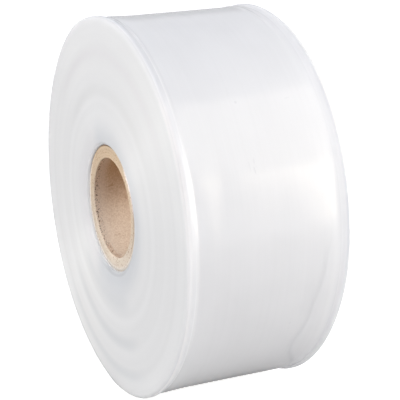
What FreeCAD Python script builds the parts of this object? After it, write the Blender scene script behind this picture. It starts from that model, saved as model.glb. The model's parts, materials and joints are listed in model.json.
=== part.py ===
import FreeCAD, Part
import os

# A roll of flattened polythene tubing, wound tight on a paper core and lying on its side.
# The core's axis runs along +Y and +Z is up. The origin is the centre of the core's bore.
# All sizes are in millimetres.

Vector = FreeCAD.Vector
ORIGIN = Vector(0, 0, 0)
ROLL_AXIS = Vector(0, 1, 0)
FULL_TURN = 360.0

# The wound tubing
FILM_WIDTH = 125.0        # flat width of the tubing, so the roll's length from face to face
RIM_DIAMETER = 290.0      # over the two raised rims, the widest part of the roll
RIM_RISE = 2.5            # height of each rim above the barrel between them
RIM_ROUND = 4.0           # radius of the rounded corner between a rim and its end face
FLARE_LENGTH = 7.0        # length along the axis over which the barrel climbs to a rim
FLAT_DEPTH = 1.2          # how deep the roll's weight has pressed its rims flat underneath

# The core
CORE_BORE = 76.2          # inside diameter, for a 3 in winding shaft
CORE_WALL = 10.2          # thickness of the wound paper
CORE_RECESS = 2.0         # how far each end of the core stands back from the film's end face
CORE_CHAMFER = 0.6        # edge knocked off both corners at each end of the core
WINDING_CLEARANCE = 0.1   # radial air gap between the core and the first turn of film

# Radii and stations worked out from them
RIM_RADIUS = RIM_DIAMETER / 2
BARREL_RADIUS = RIM_RADIUS - RIM_RISE
CORE_OUTER_RADIUS = CORE_BORE / 2 + CORE_WALL
FILM_INNER_RADIUS = CORE_OUTER_RADIUS + WINDING_CLEARANCE
CORE_LENGTH = FILM_WIDTH - 2 * CORE_RECESS


def arc_about(centre, start, end):
    """An arc of less than half a turn from start to end, about centre."""
    towards_middle = (start - centre) + (end - centre)
    towards_middle.normalize()
    middle = centre + towards_middle * (start - centre).Length
    return Part.Arc(start, middle, end).toShape()


def rim_edges(side):
    """The outline of one rim from the barrel out to the end face; side is -1 or +1 along Y."""
    crest_y = side * (FILM_WIDTH / 2 - RIM_ROUND)
    foot_y = crest_y - side * FLARE_LENGTH
    foot = Vector(BARREL_RADIUS, foot_y, 0)
    bend = Vector(BARREL_RADIUS + RIM_RISE / 2, (foot_y + crest_y) / 2, 0)
    crest = Vector(RIM_RADIUS, crest_y, 0)
    face_edge = Vector(RIM_RADIUS - RIM_ROUND, side * FILM_WIDTH / 2, 0)
    # Two equal arcs, hollow then full, meet in line at the bend.
    sweep_radius = (FLARE_LENGTH ** 2 + RIM_RISE ** 2) / (4 * RIM_RISE)
    hollow = arc_about(foot + Vector(sweep_radius, 0, 0), foot, bend)
    full = arc_about(crest - Vector(sweep_radius, 0, 0), bend, crest)
    corner = arc_about(crest - Vector(RIM_ROUND, 0, 0), crest, face_edge)
    return [hollow, full, corner]


def wound_tubing():
    """Every turn of the film as one ring: flat ends, raised rims, and a flat spot underneath."""
    front = rim_edges(-1)
    back = rim_edges(+1)
    front_outer = Vector(RIM_RADIUS - RIM_ROUND, -FILM_WIDTH / 2, 0)
    front_inner = Vector(FILM_INNER_RADIUS, -FILM_WIDTH / 2, 0)
    back_inner = Vector(FILM_INNER_RADIUS, FILM_WIDTH / 2, 0)
    back_outer = Vector(RIM_RADIUS - RIM_ROUND, FILM_WIDTH / 2, 0)
    barrel_half = FILM_WIDTH / 2 - RIM_ROUND - FLARE_LENGTH
    barrel = Part.makeLine(
        Vector(BARREL_RADIUS, -barrel_half, 0),
        Vector(BARREL_RADIUS, barrel_half, 0),
    )
    straights = [
        Part.makeLine(front_outer, front_inner),
        Part.makeLine(front_inner, back_inner),
        Part.makeLine(back_inner, back_outer),
    ]
    outline = Part.Wire(Part.__sortEdges__(front + [barrel] + back + straights))
    ring = Part.Face(outline).revolve(ORIGIN, ROLL_AXIS, FULL_TURN)
    pressed_away = Part.makeBox(
        RIM_DIAMETER,
        FILM_WIDTH,
        RIM_RADIUS,
        Vector(-RIM_RADIUS, -FILM_WIDTH / 2, FLAT_DEPTH - 2 * RIM_RADIUS),
    )
    return ring.cut(pressed_away)


def core_tube():
    """The paper core: a plain tube with its end corners knocked off."""
    start = Vector(0, -CORE_LENGTH / 2, 0)
    outside = Part.makeCylinder(CORE_OUTER_RADIUS, CORE_LENGTH, start, ROLL_AXIS)
    bore = Part.makeCylinder(CORE_BORE / 2, CORE_LENGTH, start, ROLL_AXIS)
    tube = outside.cut(bore)
    end_corners = [edge for edge in tube.Edges if edge.Closed]
    return tube.makeChamfer(CORE_CHAMFER, end_corners)


def main():
    os.makedirs("parts", exist_ok=True)
    nodes = {
        "wound_tubing": wound_tubing(),
        "core_tube": core_tube(),
    }
    for name, shape in nodes.items():
        shape.exportStep(f"parts/{name}.step")
        print(name, "solids", len(shape.Solids), "valid", shape.isValid(), "volume", round(shape.Volume))


main()
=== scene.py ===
import json
import math

import bmesh
import bpy
from mathutils import Euler, Matrix, Vector, noise


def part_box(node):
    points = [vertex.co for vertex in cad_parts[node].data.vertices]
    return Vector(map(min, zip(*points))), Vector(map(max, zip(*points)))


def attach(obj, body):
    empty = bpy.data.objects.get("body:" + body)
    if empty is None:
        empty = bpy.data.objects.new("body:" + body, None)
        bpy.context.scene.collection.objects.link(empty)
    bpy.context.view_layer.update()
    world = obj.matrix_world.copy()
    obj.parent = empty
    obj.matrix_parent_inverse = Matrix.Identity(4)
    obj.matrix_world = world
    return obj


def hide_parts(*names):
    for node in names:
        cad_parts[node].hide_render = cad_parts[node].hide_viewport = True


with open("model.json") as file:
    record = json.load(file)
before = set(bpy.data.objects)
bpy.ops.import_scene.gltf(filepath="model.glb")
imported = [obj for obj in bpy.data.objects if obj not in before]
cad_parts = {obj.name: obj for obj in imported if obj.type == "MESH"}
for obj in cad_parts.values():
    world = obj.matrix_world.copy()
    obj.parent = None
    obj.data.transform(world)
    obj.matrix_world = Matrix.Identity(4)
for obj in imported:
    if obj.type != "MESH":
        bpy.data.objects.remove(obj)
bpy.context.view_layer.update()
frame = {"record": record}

# A roll of flattened poly tubing lying on its side, wound tight on a spiral paper core.
# The core's axis runs along +Y and +Z is up. The roll's own lengths are in millimetres until MM turns
# them to metres, and the studio's are in metres. Angles round the roll are in degrees, from +X up
# towards +Z.

MM = 0.001
FRONT, BACK = -1, 1

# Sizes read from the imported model, in millimetres
film_low, film_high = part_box("wound_tubing")
core_low, core_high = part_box("core_tube")
core_mount = [m for m in frame["record"]["mounts"] if m["name"] == "core_bore"][0]
FILM_HALF = film_high.y / MM
RIM_RADIUS = film_high.z / MM
FLOOR_LEVEL = film_low.z / MM
CORE_HALF = core_high.y / MM
CORE_RADIUS = core_high.z / MM
BORE_RADIUS = core_mount["dims"]["r_mm"]

# The film's outline: each rim rolls over from the end face and flares down to the barrel
RIM_RISE = 2.5
BARREL_RADIUS = RIM_RADIUS - RIM_RISE
CORE_GAP = 0.1
HOLE_RADIUS = CORE_RADIUS + CORE_GAP
FRONT_RIM = {"rounding": 3.2, "hollow": 5.0, "slope": 20.0, "shoulder": 0.7}
BACK_RIM = {"rounding": 1.9, "hollow": 22.0, "slope": 22.0, "shoulder": 0.3}
LIP_DEPTH = 2.0
LIP_REACH = 2.5
RIM_START = FILM_HALF - 14.5
RIM_CREST = FILM_HALF - 4.0

# How finely the film is divided, and how deep its slit edges' finish goes in from each end
FILM_SEGMENTS = 240
FILM_ROW = 0.88
END_FINISH = 1.6

# The rings of the stacked edges: how far apart each kind is, how high it stands, where one of the
# widest starts, and how far below the axis the front's are centred, or above it the back's
RING_PITCH = {"wide": 22.8, "middling": 10.0, "fine": 2.6}
RING_HEIGHT = {"wide": 0.17, "middling": 0.16, "fine": 0.02}
RING_START = {FRONT: 133.0, BACK: 125.0}
RING_DROP = 2.0

# Where the rings are stronger: the middle angle and the half width, and from which radius to which
# they set in. The first patch is low on the end, and the second high up, nearer the core
RING_STRENGTH = 0.12
RING_PATCHES = [
    {"angle": 245, "half_width": 75, "sets_in": (72, 95), "strength": 0.9},
    {"angle": 85, "half_width": 55, "sets_in": (118, 92), "strength": 0.4},
]

# The end face rises in a low cone towards the core, this high and between these radii
CONE_HEIGHT = 0.95
CONE = (98, 60)

# The free end of the outer turn, on the far side of the roll: a slightly wavy step. Its two edges
# are rows of points that lie this far to each side of it, gathered from nearby
LAP_ANGLE = 164.25
LAP_THICKNESS = 0.25
LAP_WAVE = 0.3
LAP_HALF_GAP = 0.07
LAP_GATHER = 0.76 * 360 / FILM_SEGMENTS

# The roll's weight presses what would lie lower than this over the floor down close to it
PRESSED_BELOW = 0.6
PRESSED_HEIGHT = 0.036

# The core: its sawn edges' chamfer, the radius at which its outer ply has parted, how far in each
# mouth is worn, and how far along the bore the liner's seam goes in one turn
CORE_CHAMFER = 0.6
SPLIT_RADIUS = BORE_RADIUS + 6.1
SPLIT_HALF_WIDTH = 1.0
MOUTH = 5.0
SEAM_LEAD = 112.0

# How finely the core is divided, with its rows closer together at the mouths
CORE_SEGMENTS = 420
CORE_ROW = 2.0
CORE_MOUTH_ROW = 0.45


# ---------------------------------------------------------------- small helpers


def mm(*values):
    """A vector in metres from millimetres."""
    return Vector(values) * MM


def ease(low, high, value):
    """0 at low, 1 at high, and a smooth climb between them. Past either, it stays."""
    share = min(max((value - low) / (high - low), 0.0), 1.0)
    return share * share * (3 - 2 * share)


def hump(centre, half_width, value):
    """1 at the centre, falling smoothly to 0 at half_width to each side."""
    return 1 - ease(0, half_width, abs(value - centre))


def round_the_roll(stops, angle):
    """A value at an angle, eased between (angle, value) stops that go once round, in rising order."""
    angle = angle % 360
    before = (stops[-1][0] - 360, stops[-1][1])
    for stop in stops + [(stops[0][0] + 360, stops[0][1])]:
        if angle < stop[0]:
            return before[1] + (stop[1] - before[1]) * ease(before[0], stop[0], angle)
        before = stop
    return before[1]


def ripple(*place):
    """Smooth fixed noise from about -1 to 1 at a place given by up to three numbers."""
    return noise.noise(Vector((list(place) + [0.0, 0.0])[:3]))


def linear(hex_colour):
    """An sRGB hex colour as the linear RGBA that a shader socket takes."""
    channels = [int(hex_colour[i:i + 2], 16) / 255 for i in (1, 3, 5)]
    return [c / 12.92 if c <= 0.04045 else ((c + 0.055) / 1.055) ** 2.4 for c in channels] + [1.0]


def new_object(name, data):
    """An object with its data, linked to the scene."""
    item = bpy.data.objects.new(name, data)
    bpy.context.scene.collection.objects.link(item)
    return item


# ---------------------------------------------------------------- meshes


def arc(centre, radii, start, end, steps):
    """Points (y, radius) on an arc, ends included. Angles run from +Y outwards from the axis."""
    points = []
    for step in range(steps + 1):
        angle = math.radians(start + (end - start) * step / steps)
        points.append((centre[0] + radii[0] * math.cos(angle), centre[1] + radii[1] * math.sin(angle)))
    return points


def spun_mesh(outline, rows, segments):
    """A closed outline of (y, radius) points spun once round the Y axis.

    rows gives how far apart the rows are at a distance from the middle of the roll.
    """
    mesh = bmesh.new()
    loop = [mesh.verts.new(mm(radius, y, 0)) for y, radius in outline]
    runs = [mesh.edges.new((a, b)) for a, b in zip(loop, loop[1:] + loop[:1])]
    for run in runs[:-1]:
        reach = abs(run.verts[0].co.y + run.verts[1].co.y) / 2 / MM
        cuts = int(run.calc_length() / MM / rows(reach)) - 1
        if cuts > 0:
            bmesh.ops.subdivide_edges(mesh, edges=[run], cuts=cuts)
    bmesh.ops.spin(
        mesh,
        geom=mesh.verts[:] + mesh.edges[:],
        cent=(0, 0, 0),
        axis=(0, 1, 0),
        angle=math.tau,
        steps=segments,
        use_merge=True,
    )
    bmesh.ops.remove_doubles(mesh, verts=mesh.verts, dist=1e-6)
    bmesh.ops.recalc_face_normals(mesh, faces=mesh.faces)
    return mesh


def place_of(vertex):
    """A vertex as (y, radius, angle): millimetres and degrees."""
    x, y, z = vertex.co / MM
    return y, math.hypot(x, z), math.degrees(math.atan2(z, x))


def put(vertex, y, radius, angle):
    """Moves a vertex to (y, radius, angle)."""
    turn = math.radians(angle)
    vertex.co = mm(radius * math.cos(turn), y, radius * math.sin(turn))


def finished_piece(name, mesh, materials, node):
    """Turns a bmesh into a smooth-shaded object that stands for a CAD node."""
    data = bpy.data.meshes.new(name)
    for face in mesh.faces:
        face.smooth = True
    mesh.to_mesh(data)
    mesh.free()
    for material in materials:
        data.materials.append(material)
    piece = new_object(name, data)
    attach(piece, "root")
    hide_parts(node)


# ---------------------------------------------------------------- the wound film

# How far each rim's crest stands above or below its plain height, as (angle, height) round the roll
RIM_HEIGHT = {
    FRONT: [
        (0, 0.0), (45, 0.1), (80, -0.5), (101, -0.7), (119, 0.5),
        (150, 0.2), (215, -0.2), (285, 0.1), (312, -0.3),
    ],
    BACK: [
        (0, -0.5), (55, -0.5), (84, -0.4), (104, -0.6),
        (135, 0.2), (200, -0.2), (260, 0.2), (320, -0.7),
    ],
}
# How far each rim wanders outwards along the axis, as (angle, distance)
RIM_WANDER = {
    FRONT: [
        (0, 0.0), (50, -0.2), (100, 0.1), (119, 0.5), (150, 0.0),
        (215, 0.3), (260, -0.2), (287, 0.5), (330, 0.0),
    ],
    BACK: [
        (8, 0.7), (22, 0.8), (42, 1.4), (65, 1.2), (85, 0.0),
        (110, 0.2), (160, -0.4), (230, 0.4), (325, -0.9),
    ],
}
# The crease low down beside the back rim: where its foot is, as (angle, place along the axis), how
# wide and high its step is, the angles over which it starts and ends, and where it runs out
CREASE_FOOT = [(5, 47), (20, 60), (295, 58), (308, 46), (325, 31), (340, 37), (355, 43)]
CREASE_STEP = (-0.6, 1.8)
CREASE_HEIGHT = 0.5
CREASE_START = (-62, -48)
CREASE_END = (6, -5)
CREASE_RUN_OUT = (58, 51)

# Where the front rim's slope has crept out, low down and to the right: the angles over which that
# starts and ends, its middle and half width along the axis, and how far it has moved
CREEP_START = (-26, -46)
CREEP_END = (-175, -140)
CREEP_PLACE, CREEP_HALF_WIDTH = 54, 3.6
CREEP_DISTANCE = 2.0

# A low swell of the barrel beside the back rim, over the top of the roll: the middle and half width
# of it in angle and along the axis, and its height
SWELL_ANGLE, SWELL_HALF_ANGLE = 95, 35
SWELL_PLACE, SWELL_HALF_WIDTH = 51, 5
SWELL_HEIGHT = 0.8

# The barrel's own relief: gauge bands round it, broad and narrow, and slow dents
BAND_HEIGHT, NARROW_BAND_HEIGHT = 0.016, 0.002
DENT_HEIGHT = 0.13


def side_outline(rim):
    """One side of the film's outline, from its hole over the end face and the rim down to the barrel.

    The rim rolls over, slopes down in a straight cone and runs out in a hollow.
    """
    lip = arc((FILM_HALF - LIP_DEPTH, HOLE_RADIUS + LIP_REACH), (LIP_DEPTH, LIP_REACH), 270, 360, 4)
    rounding, hollow, slope = rim["rounding"], rim["hollow"], rim["slope"]
    crest = FILM_HALF - rounding
    over = arc((crest, RIM_RADIUS - rounding), (rounding, rounding), 0, 90 + slope, 10)
    foot_radius = BARREL_RADIUS + rim["shoulder"]
    tilt = math.radians(slope)
    drop = over[-1][1] - foot_radius - hollow * (1 - math.cos(tilt))
    foot = over[-1][0] - drop / math.tan(tilt) - hollow * math.sin(tilt)
    down = arc((foot, foot_radius + hollow), (hollow, hollow), 270 + slope, 270, 6)
    return lip + over + down


def film_outline():
    """The wound film's outline, from the front of its hole over both rims to the back."""
    front = [(-y, radius) for y, radius in side_outline(FRONT_RIM)]
    return front + side_outline(BACK_RIM)[::-1]


FRONT_FOOT = -side_outline(FRONT_RIM)[-1][0]
BACK_FOOT = side_outline(BACK_RIM)[-1][0]


def face_relief(side, radius, angle):
    """How far the stacked edges stand out or in, as the winding tension changed.

    The seeds keep the front's and the back's rings apart.
    """
    turn = math.radians(angle)
    across, up = math.cos(turn), math.sin(turn)
    strength = RING_STRENGTH
    for patch in RING_PATCHES:
        here = hump(patch["angle"], patch["half_width"], angle % 360) * ease(*patch["sets_in"], radius)
        strength += patch["strength"] * here
    off_centre = radius - RING_DROP * side * up
    wide = math.sin(math.tau * (off_centre - RING_START[side]) / RING_PITCH["wide"])
    middling = ripple(off_centre / RING_PITCH["middling"], 0.9 * across + side * 13, 0.9 * up)
    fine = ripple(off_centre / RING_PITCH["fine"], 1.6 * across, 1.6 * up + side * 29)
    relief = RING_HEIGHT["wide"] * wide * (0.15 + 1.1 * strength)
    relief += (RING_HEIGHT["middling"] * middling + RING_HEIGHT["fine"] * fine) * strength
    relief += CONE_HEIGHT * ease(*CONE, radius)
    near_hole = ease(HOLE_RADIUS + 14, HOLE_RADIUS + 4, radius)
    near_rim = ease(RIM_RADIUS - 7, RIM_RADIUS - 3, radius)
    return relief * (1 - near_hole) * (1 - near_rim)


def crept_slope(reach, radius, angle):
    """How far the front rim's slope has crept out towards its end."""
    here = ease(*CREEP_START, angle) * ease(*CREEP_END, angle)
    here *= hump(CREEP_PLACE, CREEP_HALF_WIDTH, reach) * ease(RIM_RADIUS - 6, RIM_RADIUS - 3, radius)
    return CREEP_DISTANCE * here


def shouldered_rise(y, angle):
    """How far the thicker edges of the film lift the barrel towards each rim's foot."""
    front = FRONT_RIM["shoulder"] * ease(30, -FRONT_FOOT, -y)
    back = BACK_RIM["shoulder"] * ease(0, BACK_FOOT, y)
    swell = hump(SWELL_ANGLE, SWELL_HALF_ANGLE, angle) * hump(SWELL_PLACE, SWELL_HALF_WIDTH, y)
    return front + back + SWELL_HEIGHT * swell


def barrel_relief(y, angle):
    """Gauge bands round the barrel and slow dents in the outer turns."""
    turn = math.radians(angle)
    bands = BAND_HEIGHT * ripple(y * 0.09, 31.0) + NARROW_BAND_HEIGHT * ripple(y * 0.32, 47.0)
    dents = ripple(1.4 * math.cos(turn) + y * 0.012, 1.4 * math.sin(turn), y * 0.02)
    return bands + DENT_HEIGHT * dents


def far_crease(y, angle):
    """The outer turns have slipped low down beside the back rim and stand up from a curved crease."""
    foot = round_the_roll(CREASE_FOOT, angle)
    here = ease(*CREASE_START, angle) * ease(*CREASE_END, angle) * ease(*CREASE_RUN_OUT, y)
    return CREASE_HEIGHT * here * ease(foot + CREASE_STEP[0], foot + CREASE_STEP[1], y)


def gathered_at_lap(y, angle):
    """An angle, moved to the lap's edge if it is near, and how much of a turn it is past the lap."""
    past_lap = (angle - LAP_ANGLE + 180) % 360 - 180
    if abs(past_lap) < LAP_GATHER:
        past_lap = math.copysign(LAP_HALF_GAP, past_lap)
        angle = LAP_ANGLE + LAP_WAVE * ripple(y * 0.03) + past_lap
    return angle, past_lap % 360 / 360


def press_on_floor(vertex):
    """Presses a vertex that is at or near the floor down to it."""
    height = vertex.co.z / MM - FLOOR_LEVEL
    if height < PRESSED_BELOW:
        pressed = PRESSED_HEIGHT * math.exp(2.0 * height) if height > 0 else 0.0
        vertex.co.z = (FLOOR_LEVEL + pressed) * MM


def sculpt_film(mesh):
    """Moves the spun vertices to the hand-wound shape: wandering rims, ringed ends, dented barrel."""
    for vertex in mesh.verts:
        y, radius, angle = place_of(vertex)
        angle, past_lap = gathered_at_lap(y, angle)
        side = BACK if y > 0 else FRONT
        reach = abs(y)
        on_face = ease(FILM_HALF - 0.4, FILM_HALF - 0.1, reach)
        on_rim = ease(RIM_RADIUS - 16, RIM_RADIUS - 3, radius) * ease(RIM_START, RIM_CREST, reach)
        on_barrel = ease(BARREL_RADIUS - 1, BARREL_RADIUS - 0.1, radius)

        out = on_rim * round_the_roll(RIM_WANDER[side], angle)
        out += on_face * face_relief(side, radius, angle)
        if side == FRONT:
            out += crept_slope(reach, radius, angle)

        rise = far_crease(y, angle) - LAP_THICKNESS * (1 - past_lap)
        rise += (1 - 0.7 * on_rim) * barrel_relief(y, angle)
        if FRONT_FOOT < y < BACK_FOOT:
            rise += BARREL_RADIUS + shouldered_rise(y, angle) - radius
        up = on_barrel * rise + on_rim * round_the_roll(RIM_HEIGHT[side], angle)

        put(vertex, y + side * out, radius + up, angle)
        press_on_floor(vertex)


def film_roll():
    """The wound film: slit edges on its ends, and the film's glossy side all round."""
    mesh = spun_mesh(film_outline(), lambda reach: FILM_ROW, FILM_SEGMENTS)
    sculpt_film(mesh)
    for face in mesh.faces:
        on_end = all(abs(vertex.co.y) / MM > FILM_HALF - END_FINISH for vertex in face.verts)
        face.material_index = 1 if on_end else 0
    materials = [film_face_material(), film_end_material()]
    finished_piece("wound_film", mesh, materials, "wound_tubing")


# ---------------------------------------------------------------- the paper core

# Where the outer ply has parted at each end, as a middle angle and a half width, and how deep
SPLIT_ANGLES = {FRONT: (8, 40), BACK: (150, 50)}
SPLIT_DEPTH = 0.8
SAW_MARK_HEIGHT = 0.1

# The liner's relief, in height, in depth from the end and in angle: its mouth is frayed, most of
# all to one side, and torn at another, and there are its seam and the slow waves of the paper
FRAY_HEIGHT, FINE_FRAY_HEIGHT = 0.45, 0.4
FRAY_DEPTH = (2.2, 0.3)
FRAY_ANGLE = 190
TEAR_HEIGHT = 0.4
TEAR_DEPTH = (4.2, 2.6)
TEAR_ANGLE, TEAR_HALF_WIDTH = 268, 24
SEAM_HEIGHT, SEAM_HALF_WIDTH = 0.35, 3.0
WAVE_HEIGHT = 0.1
INNER_FRAY = 0.3


def core_outline():
    """The core's outline, from the outside of its front end round through the bore."""
    front = [
        (-CORE_HALF + MOUTH, CORE_RADIUS),
        (-CORE_HALF + CORE_CHAMFER, CORE_RADIUS),
        (-CORE_HALF, CORE_RADIUS - CORE_CHAMFER),
        (-CORE_HALF, SPLIT_RADIUS + 1.1 * SPLIT_HALF_WIDTH),
        (-CORE_HALF, SPLIT_RADIUS),
        (-CORE_HALF, SPLIT_RADIUS - 1.1 * SPLIT_HALF_WIDTH),
        (-CORE_HALF, BORE_RADIUS + CORE_CHAMFER),
        (-CORE_HALF + CORE_CHAMFER, BORE_RADIUS),
        (-CORE_HALF + MOUTH, BORE_RADIUS),
    ]
    back = [(-y, radius) for y, radius in reversed(front)]
    return front + back


def end_relief(side, radius, angle):
    """How far the core's sawn end stands out: a little rough, and open along the parted ply."""
    saw_marks = ripple(radius * 0.9, side * 3.0) + ripple(radius * 0.4, math.radians(angle) * 4, side)
    middle, half_width = SPLIT_ANGLES[side]
    off_middle = (angle - middle + 180) % 360 - 180
    parted = hump(0, half_width, off_middle) * hump(SPLIT_RADIUS, SPLIT_HALF_WIDTH, radius)
    return SAW_MARK_HEIGHT * saw_marks - SPLIT_DEPTH * parted


def bore_relief(side, y, angle):
    """How far the liner stands back from the bore: frayed and torn at the mouth, with a spiral seam."""
    turn = math.radians(angle)
    depth = CORE_HALF - abs(y)
    frayed = ease(*FRAY_DEPTH, depth) * (0.6 + 0.4 * math.cos(turn - math.radians(FRAY_ANGLE)))
    relief = FRAY_HEIGHT * frayed * ripple(turn * 26, side * 7.0)
    relief += FINE_FRAY_HEIGHT * frayed * ripple(turn * 70, depth * 1.4, side * 9.0)
    torn = ease(*TEAR_DEPTH, depth) * hump(TEAR_ANGLE, TEAR_HALF_WIDTH, angle % 360)
    relief += TEAR_HEIGHT * torn * ripple(depth * 1.1, turn * 5, 40.0)
    seam = (angle + y * 360 / SEAM_LEAD) % 360
    relief += SEAM_HEIGHT * hump(180, SEAM_HALF_WIDTH, seam)
    return relief + WAVE_HEIGHT * ripple(turn * 5, y * 0.12)


def sculpt_core(mesh):
    """Parts the outer ply, frays the sawn edges, and turns the liner's seam down the bore."""
    for vertex in mesh.verts:
        y, radius, angle = place_of(vertex)
        side = BACK if y > 0 else FRONT
        on_end = ease(0.5, 0.1, CORE_HALF - abs(y))
        out = end_relief(side, radius, angle)
        up = 0.0
        if radius < BORE_RADIUS + 0.8:
            out += INNER_FRAY * ripple(math.radians(angle) * 40, side * 5.0)
            up = bore_relief(side, y, angle)
        put(vertex, y + side * on_end * out, radius + up, angle)


def core():
    """The paper core, with finer rows at its two mouths."""
    mesh = spun_mesh(
        core_outline(),
        lambda reach: CORE_MOUTH_ROW if reach > CORE_HALF - MOUTH else CORE_ROW,
        CORE_SEGMENTS,
    )
    sculpt_core(mesh)
    finished_piece("paper_core", mesh, [core_material()], "core_tube")


# ---------------------------------------------------------------- materials

# Specks, and small pinched creases painted as dark lines of shade, in the outer turn: place along
# the axis, angle, width along the axis, length round the roll, tilt in degrees, and how dark. Each
# reaches a little way into the film
FLAWS_AND_CREASE_SHADES = [
    (-7.5, 44.5, 2.4, 2.4, 0, 0.13),
    (-5.8, 27.0, 1.3, 5.0, -5, 0.08),
    (-6.3, 24.4, 1.3, 6.0, 8, 0.12),
    (-9.6, 25.5, 1.2, 9.0, 4, 0.045),
    (31.5, 44.0, 4.5, 1.2, 10, 0.07),
    (22.8, -24.0, 2.2, 1.4, 0, 0.10),
    (23.4, -26.2, 2.8, 1.0, 0, 0.06),
]
FLAW_DEPTH = 6.0

# Rings of painted shade on the end, where light falls across its ring relief: upper or lower part,
# radius, half width, colour
PAINTED_RING_SHADES = [
    ("upper", 91.5, 9.0, "#DADBDB"),
    ("upper", 119.5, 7.0, "#DCDCDD"),
    ("lower", 70.0, 14.0, "#D9DBDC"),
    ("lower", 102.0, 9.0, "#D8DADB"),
    ("lower", 126.0, 7.0, "#DADCDD"),
]
RING_CENTRE = (-0.5, 0.0, -RING_DROP)
RING_CREST = 133.5
AXIS = (0.0, 0.0, 0.0)

# Sizes of the film's patterns: the lines that the die left, how far along a pattern drifts, the
# film's clouds, and the finer rings of its stacked edges. Real die lines are finer than these, which
# are as coarse as they need to be to show
DIE_LINE = 2.381
DRIFT = 111.1
CLOUD = 45.45
FINE_RING = 11.11

# Sizes of the paper's patterns. Real fibres are far finer, too fine to show
PLY = 0.6667
FIBRE = 1.111
GRAIN = 1.25
STAIN = 6.667
TORN_RIDGE = 1.3

# Polyethylene lets light in and scatters it over about 12 mm, so no shadow in it is sharp
MILKY_FILM = {
    "IOR": 1.5,
    "Subsurface Weight": 1.0,
    "Subsurface Radius": (1.0, 1.0, 1.0),
    "Subsurface Scale": 0.012,
}


def new_material(name):
    """A node material with nothing in it, and its node tree."""
    material = bpy.data.materials.new(name)
    material.use_nodes = True
    material.node_tree.nodes.clear()
    return material, material.node_tree


def add(tree, kind, inputs=None, **settings):
    """Adds a node with its settings and links, and returns the first output that it uses.

    inputs maps a socket's name or number to a number, a vector, a hex colour or another output.
    """
    node = tree.nodes.new(kind)
    for name, value in settings.items():
        setattr(node, name, value)
    for key, value in (inputs or {}).items():
        if isinstance(value, bpy.types.NodeSocket):
            tree.links.new(value, node.inputs[key])
        else:
            node.inputs[key].default_value = linear(value) if isinstance(value, str) else value
    return next((output for output in node.outputs if output.enabled), None)


def zone(tree, *parts):
    """How much of a zone a point is in: the product of its parts.

    A part is a share that is already known, or a smooth ramp: (value, start, end), which goes from
    0 at start to 1 at end, or (value, start, end, low, high), which goes from low to high.
    """
    product = None
    for part in parts:
        share = part
        if isinstance(part, tuple):
            value, start, end, low, high = part if len(part) == 5 else part + (0.0, 1.0)
            share = add(
                tree,
                "ShaderNodeMapRange",
                {"Value": value, "From Min": start, "From Max": end, "To Min": low, "To Max": high},
                interpolation_type="SMOOTHSTEP",
            )
        if product is None:
            product = share
        else:
            product = add(tree, "ShaderNodeMath", {0: product, 1: share}, operation="MULTIPLY")
    return product


def coated(tree, colour, *coats):
    """A colour with others laid over it in turn. A coat is the share that it covers and its colour."""
    for share, coat in coats:
        colour = add(tree, "ShaderNodeMix", {"Factor": share, 6: colour, 7: coat}, data_type="RGBA")
    return colour


def measured(tree):
    """Where a point is on the roll, in millimetres: as a vector, and its x, y and z."""
    place = add(tree, "ShaderNodeTexCoord").node.outputs["Object"]
    place = add(tree, "ShaderNodeVectorMath", {0: place, "Scale": 1 / MM}, operation="SCALE")
    return place, *add(tree, "ShaderNodeSeparateXYZ", {"Vector": place}).node.outputs


def away_from(tree, value, centre):
    """How far a value is from a centre, to either side."""
    off = add(tree, "ShaderNodeMath", {0: value, 1: centre}, operation="SUBTRACT")
    return add(tree, "ShaderNodeMath", {0: off}, operation="ABSOLUTE")


def radius_about(tree, place, centre):
    """How far a place is from the line along Y through a centre."""
    offset = -Vector(centre)
    flat = add(tree, "ShaderNodeMapping", {"Vector": place, "Location": offset, "Scale": (1, 0, 1)})
    return add(tree, "ShaderNodeVectorMath", {0: flat}, operation="LENGTH")


def out_towards(tree, place, angle):
    """How far a place lies out from the axis in the direction of an angle round the roll."""
    turn = math.radians(angle)
    direction = (math.cos(turn), 0, math.sin(turn))
    return add(tree, "ShaderNodeVectorMath", {0: place, 1: direction}, operation="DOT_PRODUCT")


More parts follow.
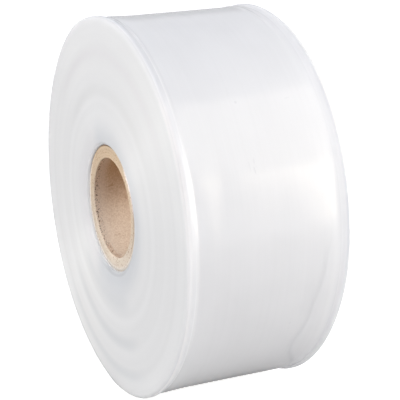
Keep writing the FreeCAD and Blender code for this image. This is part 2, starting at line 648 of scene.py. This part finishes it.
def film_face_material():
    """Blown low-density polyethylene film, wound glossy side out.

    Milky white, with a broad soft gloss and faint lines round the roll where the die left the
    film a little thicker.
    """
    material, tree = new_material("polyethylene_film_glossy")
    place, _, y, z = measured(tree)
    from_front = add(tree, "ShaderNodeMath", {0: y, 1: FILM_HALF}, operation="ADD")
    from_back = add(tree, "ShaderNodeMath", {0: FILM_HALF, 1: y}, operation="SUBTRACT")

    # Faint die lines, thin along the axis and long round the roll, over slow clouds
    thin = add(tree, "ShaderNodeMapping", {"Vector": place, "Scale": (1 / DRIFT, 1 / DIE_LINE, 1 / DRIFT)})
    lines = add(tree, "ShaderNodeTexNoise", {"Vector": thin, "Scale": 1.0, "Detail": 3.0})
    cloud = add(tree, "ShaderNodeTexNoise", {"Vector": place, "Scale": 1 / CLOUD, "Detail": 2.0})
    cloudy = add(tree, "ShaderNodeMath", {0: lines, 1: 0.5, 2: cloud}, operation="MULTIPLY_ADD")
    milky = coated(tree, "#E8E9EA", (zone(tree, (cloudy, 0.5, 1.0)), "#EBECED"))

    # The front rim's fold has stretched whiter, and is painted lighter still lower down, and not over the
    # top, as a painted glow where light shines through its edge
    folded = zone(tree, (from_front, 4.2, 2.1), (z, 118, 96))
    whiter_fold_and_glow = coated(tree, "#ECEBEA", (zone(tree, (z, 70, 0)), "#FAF9F7"))

    # Painted shade on the hollow slope behind the fold: a little all round, more over the top and most
    # low down by the floor, and a painted shade line at its foot over the top
    slope_shade = zone(tree, (z, 100, 120, 0.0, 0.35))
    for ramp in ((z, 12, -12, 0.22, 0.3), (z, -94, -108, 0.0, 0.7)):
        slope_shade = add(tree, "ShaderNodeMath", {0: slope_shade, 1: zone(tree, ramp)}, operation="ADD")
    on_slope = zone(tree, (from_front, 7.2, 5.8), (from_front, 1.7, 3.5), slope_shade)
    at_foot = zone(tree, (away_from(tree, from_front, 8.8), 1.6, 0.4), (z, 88, 106, 0.0, 0.15))

    # Painted shade on the back rim's outer edge, darker lower down
    back_edge = zone(tree, (from_back, 4.0, 1.7))
    back_edge_shade = coated(tree, "#D0D3D7", (zone(tree, (z, 20, 70)), "#DBDDDF"))
    colour = coated(
        tree,
        milky,
        (folded, whiter_fold_and_glow),
        (on_slope, "#C6C9CD"),
        (at_foot, "#C6C9CD"),
        (back_edge, back_edge_shade),
    )
    # Specks, and the painted shade of small creases
    for along_axis, angle, width, length, tilt, darkness in FLAWS_AND_CREASE_SHADES:
        turn = math.radians(angle)
        local = add(
            tree,
            "ShaderNodeMapping",
            {
                "Vector": place,
                "Location": (BARREL_RADIUS * math.cos(turn), along_axis, BARREL_RADIUS * math.sin(turn)),
                "Rotation": (math.radians(tilt), -turn, 0),
                "Scale": (FLAW_DEPTH, width / 2, length / 2),
            },
            vector_type="TEXTURE",
        )
        off_flaw = add(tree, "ShaderNodeVectorMath", {0: local}, operation="LENGTH")
        colour = coated(tree, colour, (zone(tree, (off_flaw, 1.2, 0.5, 0.0, darkness)), "#9A9CA3"))

    # Handling has dulled both rims
    dulled = zone(tree, (away_from(tree, y, 0.0), FILM_HALF - 10, FILM_HALF - 2, 0.0, 0.42))
    gloss = zone(tree, (lines, 0.3, 0.7, 0.13, 0.15))
    roughness = add(tree, "ShaderNodeMath", {0: gloss, 1: dulled}, operation="ADD")
    bump = add(tree, "ShaderNodeBump", {"Height": lines, "Strength": 0.03, "Distance": 0.00004})
    shader = add(
        tree,
        "ShaderNodeBsdfPrincipled",
        {"Base Color": colour, "Roughness": roughness, "Normal": bump, **MILKY_FILM},
    )
    add(tree, "ShaderNodeOutputMaterial", {"Surface": shader})
    return material


def film_end_material():
    """The same film seen edge on: hundreds of slit edges stacked into a satin end face.

    The edges lie like fine grooves round the roll, so light streaks across them, and the
    winding tension leaves soft rings a few millimetres to a finger wide.
    """
    material, tree = new_material("polyethylene_film_slit_edges")
    place, x, _, z = measured(tree)
    radius = radius_about(tree, place, RING_CENTRE)
    true_radius = radius_about(tree, place, AXIS)
    low_left = out_towards(tree, place, 243)
    facing = {}
    for part, angle in (("upper", 90), ("upper right", 70), ("upper left", 120), ("lower", 262)):
        outwards = out_towards(tree, place, angle)
        facing[part] = add(tree, "ShaderNodeMath", {0: outwards, 1: radius}, operation="DIVIDE")

    # Finer rings over the widest ones, which fade in and out round the roll
    rings = add(
        tree,
        "ShaderNodeTexNoise",
        {"W": radius, "Scale": 1 / FINE_RING, "Detail": 1.0},
        noise_dimensions="1D",
    )
    drift = add(tree, "ShaderNodeTexNoise", {"Vector": place, "Scale": 1 / DRIFT, "Detail": 1.0})
    per_millimetre = math.tau / RING_PITCH["wide"]
    phase = add(
        tree,
        "ShaderNodeMath",
        {0: radius, 1: per_millimetre, 2: -RING_CREST * per_millimetre},
        operation="MULTIPLY_ADD",
    )
    wave = add(tree, "ShaderNodeMath", {0: phase}, operation="COSINE")
    swell = zone(tree, (drift, 0.35, 0.65, 0.1, 0.4), (low_left, -20, 90, 0.2, 0.8))
    banded = add(tree, "ShaderNodeMath", {0: wave, 1: swell, 2: rings}, operation="MULTIPLY_ADD")
    # The end's upper right is painted darker with shade over its banded tone
    edges = coated(
        tree,
        "#DFE0E0",
        (zone(tree, (banded, 0.0, 1.0)), "#E6E7E7"),
        (zone(tree, (facing["upper right"], 0.55, 0.9, 0.0, 0.35)), "#D6D7D8"),
    )
    parts = {
        "upper": zone(tree, (facing["upper"], 0.4, 0.8)),
        "lower": zone(tree, (facing["lower"], 0.72, 0.93)),
    }
    # Rings of painted shade
    for part, ring_radius, half_width, colour in PAINTED_RING_SHADES:
        on_ring = zone(tree, (away_from(tree, radius, ring_radius), half_width, 0.0), parts[part])
        edges = coated(tree, edges, (on_ring, colour))

    # Round the hole the end is painted with shade, lighter to the left, and the lip itself has
    # painted shade below on the right and a painted highlight, nearly white, at the upper left
    outside_hole = zone(tree, (radius, HOLE_RADIUS + 2.6, HOLE_RADIUS + 25.6))
    shaded_round_hole = coated(tree, "#D1D4D7", (zone(tree, (x, -16, -34)), "#E0E0E1"))
    inner = coated(tree, shaded_round_hole, (outside_hole, edges))
    lip = coated(
        tree,
        inner,
        (zone(tree, (facing["upper left"], -0.6, -0.9)), "#C0C3C6"),
        (zone(tree, (facing["upper left"], 0.7, 0.95)), "#FFFFFF"),
    )

    # The outermost turns have stretched whiter where they fold over the rim, and are painted lighter
    # still lower down, and not over the top, as a painted glow where light shines through them. Low
    # down on the left a painted contact shade darkens them
    folded = zone(tree, (radius, RIM_RADIUS - 2.2, RIM_RADIUS - 0.3), (z, 118, 96))
    whiter_fold_and_glow = coated(tree, "#E3E2E1", (zone(tree, (z, 70, 0)), "#F4F3F1"))
    painted_contact_shade = zone(tree, (true_radius, RIM_RADIUS - 4.5, RIM_RADIUS - 1.5), (low_left, 112, 134))
    colour = coated(
        tree,
        inner,
        (zone(tree, (radius, HOLE_RADIUS + 3.0, HOLE_RADIUS + 1.0)), lip),
        (folded, whiter_fold_and_glow),
        (painted_contact_shade, "#BDBFC2"),
    )
    bump = add(tree, "ShaderNodeBump", {"Height": rings, "Strength": 0.15, "Distance": 0.0001})
    shader = add(
        tree,
        "ShaderNodeBsdfPrincipled",
        {
            "Base Color": colour,
            "Roughness": 0.6,
            "Normal": bump,
            "Specular IOR Level": 1.0,
            "Anisotropic": 0.9,
            "Anisotropic Rotation": 0.25,
            "Tangent": add(tree, "ShaderNodeTangent", direction_type="RADIAL", axis="Y"),
            **MILKY_FILM,
        },
    )
    add(tree, "ShaderNodeOutputMaterial", {"Surface": shader})
    return material


def core_material():
    """Spiral-wound kraft paper tube: a matt brown liner in the bore, and paler plies sawn across.

    Bare paper fibre has no gloss at all. The outer plies are painted nearly cream where the light
    catches them, below and on the right.
    """
    material, tree = new_material("kraft_paper_spiral_tube")
    place, x, y, z = measured(tree)
    radius = radius_about(tree, place, AXIS)
    depth = add(tree, "ShaderNodeMath", {0: CORE_HALF, 1: away_from(tree, y, 0.0)}, operation="SUBTRACT")
    low_right = out_towards(tree, place, 300)
    plies = add(
        tree,
        "ShaderNodeTexNoise",
        {"W": radius, "Scale": 1 / PLY, "Detail": 1.0},
        noise_dimensions="1D",
    )
    fibre, grain, mottle = [
        add(tree, "ShaderNodeTexNoise", {"Vector": place, "Scale": 1 / size, "Detail": detail})
        for size, detail in ((FIBRE, 4.0), (GRAIN, 3.0), (STAIN, 2.0))
    ]

    # The liner: brown and grained, painted darker high up and paler and pinker low down, where the
    # light reaches into the bore, with a few stains, paler near the mouth, painted shadows of burrs at
    # the mouth, and torn ridges low down
    grained = zone(tree, (grain, 0.3, 0.7))
    ridge_phase = add(
        tree,
        "ShaderNodeMath",
        {0: depth, 1: math.tau / TORN_RIDGE, 2: fibre},
        operation="MULTIPLY_ADD",
    )
    ridges = add(tree, "ShaderNodeMath", {0: ridge_phase}, operation="SINE")
    liner = coated(
        tree,
        coated(tree, "#B38C66", (grained, "#C9A47C")),
        (zone(tree, (z, 34, -30)), coated(tree, "#C8B5A2", (grained, "#DACCBB"))),
        (zone(tree, (mottle, 0.64, 0.74, 0.0, 0.5)), "#96704F"),
        (zone(tree, (depth, 13, 4, 0.0, 0.3)), "#F3E6D6"),
        (zone(tree, (depth, 7, 1), (fibre, 0.56, 0.63)), "#4A2E1C"),
        (zone(tree, (ridges, 0.2, 0.8), (depth, 5.2, 4.4), (z, -33, -36)), "#CDAB8E"),
    )

    # The sawn plies: tan, painted paler below and less so to the left, painted cream towards the
    # outside where light catches them below and on the right, with a near-white painted highlight over
    # the outer half of the plies on the upper right, parted by a dark line on the right, with dark
    # specks, painted shade where the film's lip stands over their outer edge, and painted shade on the
    # outer edge low on the right
    low_plies = coated(tree, "#DCD0C0", (zone(tree, (x, 2, -20)), "#CDC1B1"))
    lit_cream = add(
        tree,
        "ShaderNodeMath",
        {0: zone(tree, (z, 36, 8)), 1: zone(tree, (x, 16, 26))},
        operation="MAXIMUM",
    )
    outermost = (radius, CORE_RADIUS - 3.8, CORE_RADIUS - 1.3)
    painted_highlight_band = (radius, CORE_RADIUS - 6.8, CORE_RADIUS - 4.3)
    edge = (radius, CORE_RADIUS - 1.3, CORE_RADIUS - 0.7)
    wide_edge = (radius, CORE_RADIUS - 2.3, CORE_RADIUS - 0.9)
    off_split = away_from(tree, radius, SPLIT_RADIUS)
    sawn = coated(
        tree,
        "#C2AA8E",
        (zone(tree, (plies, 0.25, 0.75)), "#D6C2A8"),
        (zone(tree, (z, 40, -45)), low_plies),
        (zone(tree, outermost, lit_cream), "#E7E0D8"),
        (zone(tree, painted_highlight_band, (z, 3, 13), (x, 22, 31)), "#FAF1EB"),
        (zone(tree, (off_split, 1.3, 0.7), (x, 34, 41, 0.0, 0.3)), "#6E4630"),
        (zone(tree, (fibre, 0.42, 0.32)), "#A58263"),
        (zone(tree, edge, (z, 4, 22), (x, 10, 2)), "#75604E"),
        (zone(tree, wide_edge, (low_right, 30, 42)), "#CBC3B9"),
    )
    colour = coated(tree, liner, (zone(tree, (depth, 0.6, 0.3)), sawn))
    bump = add(tree, "ShaderNodeBump", {"Height": fibre, "Strength": 0.6, "Distance": 0.0004})
    shader = add(
        tree,
        "ShaderNodeBsdfPrincipled",
        {"Base Color": colour, "Roughness": 0.9, "Normal": bump, "IOR": 1.4, "Specular IOR Level": 0.3},
    )
    add(tree, "ShaderNodeOutputMaterial", {"Surface": shader})
    return material


# ---------------------------------------------------------------- studio, in metres

# Where the camera stands from what it looks at, and its lens
CAMERA_AIM = mm(5.4, 10.4, -1.8)
CAMERA_AZIMUTH = math.radians(65.18)
CAMERA_ELEVATION = math.radians(18.33)
CAMERA_DISTANCE = 1.028
LENS = 119.7
SENSOR_WIDTH = 36

# The big light panel that leans in over the roll's right
PANEL_FOOT = Vector((1.251, 0.828, -0.10))
PANEL_ALONG = Vector((-0.552, 0.834, 0))
PANEL_UP = Vector((-0.42, -0.278, 0.864))

FLOOR_HALF_SIZE = 6.0
UP = (0, 0, 1)


def stage_sheet(name, half_width, half_height, where, material):
    """A flat sheet of the set, put in its place by a matrix."""
    mesh = bmesh.new()
    bmesh.ops.create_grid(mesh, x_segments=1, y_segments=1, size=1.0)
    bmesh.ops.scale(mesh, verts=mesh.verts, vec=(half_width, half_height, 1))
    bmesh.ops.transform(mesh, verts=mesh.verts, matrix=where)
    data = bpy.data.meshes.new(name)
    mesh.to_mesh(data)
    mesh.free()
    data.materials.append(material)
    sheet = new_object(name, data)
    return sheet


def floor():
    """A white sweep under the roll: shown white, with the roll's own contact shadow kept.

    Reflections show it white too, from a little way out, and keep the shade close to the roll.
    """
    material, tree = new_material("matt_white_paint")
    paint = add(tree, "ShaderNodeBsdfDiffuse", {"Color": "#CBCBCB"})
    glow = add(tree, "ShaderNodeEmission", {"Color": "#FFFFFF", "Strength": 0.90})
    white = add(tree, "ShaderNodeAddShader", {0: paint, 1: glow})
    place = add(tree, "ShaderNodeTexCoord").node.outputs["Object"]
    away = add(tree, "ShaderNodeVectorMath", {0: place}, operation="LENGTH")
    rays = add(tree, "ShaderNodeLightPath").node.outputs
    bounced = {0: rays["Is Glossy Ray"], 1: rays["Is Transmission Ray"]}
    mirrored = zone(tree, add(tree, "ShaderNodeMath", bounced, operation="MAXIMUM"), (away, 0.8, 1.6))
    shown = add(tree, "ShaderNodeMath", {0: rays["Is Camera Ray"], 1: mirrored}, operation="MAXIMUM")
    mixed = add(tree, "ShaderNodeMixShader", {0: shown, 1: paint, 2: white})
    add(tree, "ShaderNodeOutputMaterial", {"Surface": mixed})
    level = Matrix.Translation(mm(0, 0, FLOOR_LEVEL))
    stage_sheet("floor", FLOOR_HALF_SIZE, FLOOR_HALF_SIZE, level, material)


def grey_flag():
    """A pale grey card behind the set and out of the picture.

    It tones down the glancing reflections along the roll's top.
    """
    material, tree = new_material("translucent_grey_card")
    glow = add(tree, "ShaderNodeEmission", {"Color": "#FFFFFF", "Strength": 0.62})
    add(tree, "ShaderNodeOutputMaterial", {"Surface": glow})
    upright = Euler((math.pi / 2, 0, CAMERA_AZIMUTH)).to_matrix().to_4x4()
    card = stage_sheet("grey_flag", 1.1, 0.41, Matrix.Translation((-1.9, 0.9, 0.29)) @ upright, material)
    card.visible_camera = False


def room_light(strength, colour):
    """Even light from all round, shown as plain white behind the roll."""
    world = bpy.data.worlds.new("studio")
    bpy.context.scene.world = world
    world.use_nodes = True
    tree = world.node_tree
    tree.nodes.clear()
    soft = add(tree, "ShaderNodeBackground", {"Color": colour, "Strength": strength})
    white = add(tree, "ShaderNodeBackground", {"Color": "#FFFFFF", "Strength": 1.0})
    rays = add(tree, "ShaderNodeLightPath").node.outputs
    shown = rays["Is Camera Ray"]
    for ray in ("Is Glossy Ray", "Is Transmission Ray"):
        shown = add(tree, "ShaderNodeMath", {0: shown, 1: rays[ray]}, operation="MAXIMUM")
    mixed = add(tree, "ShaderNodeMixShader", {0: shown, 1: soft, 2: white})
    add(tree, "ShaderNodeOutputWorld", {"Surface": mixed})


def softbox(name, centre, facing, up, width, height, radiance, colour):
    """A rectangular light of a given brightness that looks along facing, its height running along up."""
    lamp = bpy.data.lights.new(name, "AREA")
    lamp.shape = "RECTANGLE"
    lamp.size = width
    lamp.size_y = height
    lamp.energy = radiance * math.pi * width * height
    lamp.color = linear(colour)[:3]
    light = new_object(name, lamp)
    backward = -Vector(facing).normalized()
    across = Vector(up).cross(backward).normalized()
    top = backward.cross(across)
    light.matrix_world = Matrix((across, top, backward)).transposed().to_4x4()
    light.location = centre
    light.visible_camera = False


def leaning_panel(name, left, right, high, in_front, radiance, colour):
    """A strip of the big light panel, measured on the panel's own face from its foot."""
    facing = PANEL_UP.cross(PANEL_ALONG)
    foot = PANEL_FOOT + facing * in_front
    centre = foot + PANEL_ALONG * (left + right) / 2 + PANEL_UP * high / 2
    softbox(name, centre, facing, PANEL_UP, right - left, high, radiance, colour)


def bore_light(power, colour):
    """A narrow spot from the front right that reaches into the bore."""
    lamp = bpy.data.lights.new("bore_light", "SPOT")
    lamp.energy = power
    lamp.color = linear(colour)[:3]
    lamp.spot_size = math.radians(3.2)
    lamp.spot_blend = 0.1
    lamp.shadow_soft_size = 0.008
    light = new_object("bore_light", lamp)
    light.location = (0.32, -1.06, 0.52)
    aim = mm(0, -CORE_HALF, 0) - light.location
    light.rotation_euler = aim.to_track_quat("-Z", "Y").to_euler()


def camera():
    """Looks at the roll from the front right and a little above, level."""
    towards = Vector((
        math.sin(CAMERA_AZIMUTH) * math.cos(CAMERA_ELEVATION),
        -math.cos(CAMERA_AZIMUTH) * math.cos(CAMERA_ELEVATION),
        math.sin(CAMERA_ELEVATION),
    ))
    data = bpy.data.cameras.new("camera")
    data.lens = LENS
    data.sensor_width = SENSOR_WIDTH
    data.clip_start = 0.05
    data.clip_end = 60
    view = new_object("camera", data)
    view.location = CAMERA_AIM + towards * CAMERA_DISTANCE
    view.rotation_euler = (-towards).to_track_quat("-Z", "Y").to_euler()
    bpy.context.scene.camera = view


# ---------------------------------------------------------------- the scene

bpy.context.scene.view_settings.view_transform = "Standard"
camera()
floor()
grey_flag()
room_light(0.481, "#E4E9FF")
leaning_panel("panel", -0.20, 0.80, 1.66, 0.0, 1.565, "#FFF6E5")
leaning_panel("panel_hot", -0.17, 0.80, 0.75, 0.02, 2.15, "#FFF3DB")
softbox("front_low", (-0.6, -1.7, 0.5), (0.6, 1.7, -0.5), UP, 1.6, 1.0, 2.87, "#FFF5E7")
softbox("front_high", (0.2, -1.5, 0.9), (-0.2, 1.5, -0.9), UP, 0.5, 0.5, 10.67, "#FBFFFA")
softbox("right_near", (0.53, 0.77, 0.22), (-0.53, -0.77, -0.17), UP, 0.42, 0.42, 4.2, "#EEF5FF")
bore_light(50.0, "#FFF6EE")

film_roll()
core()
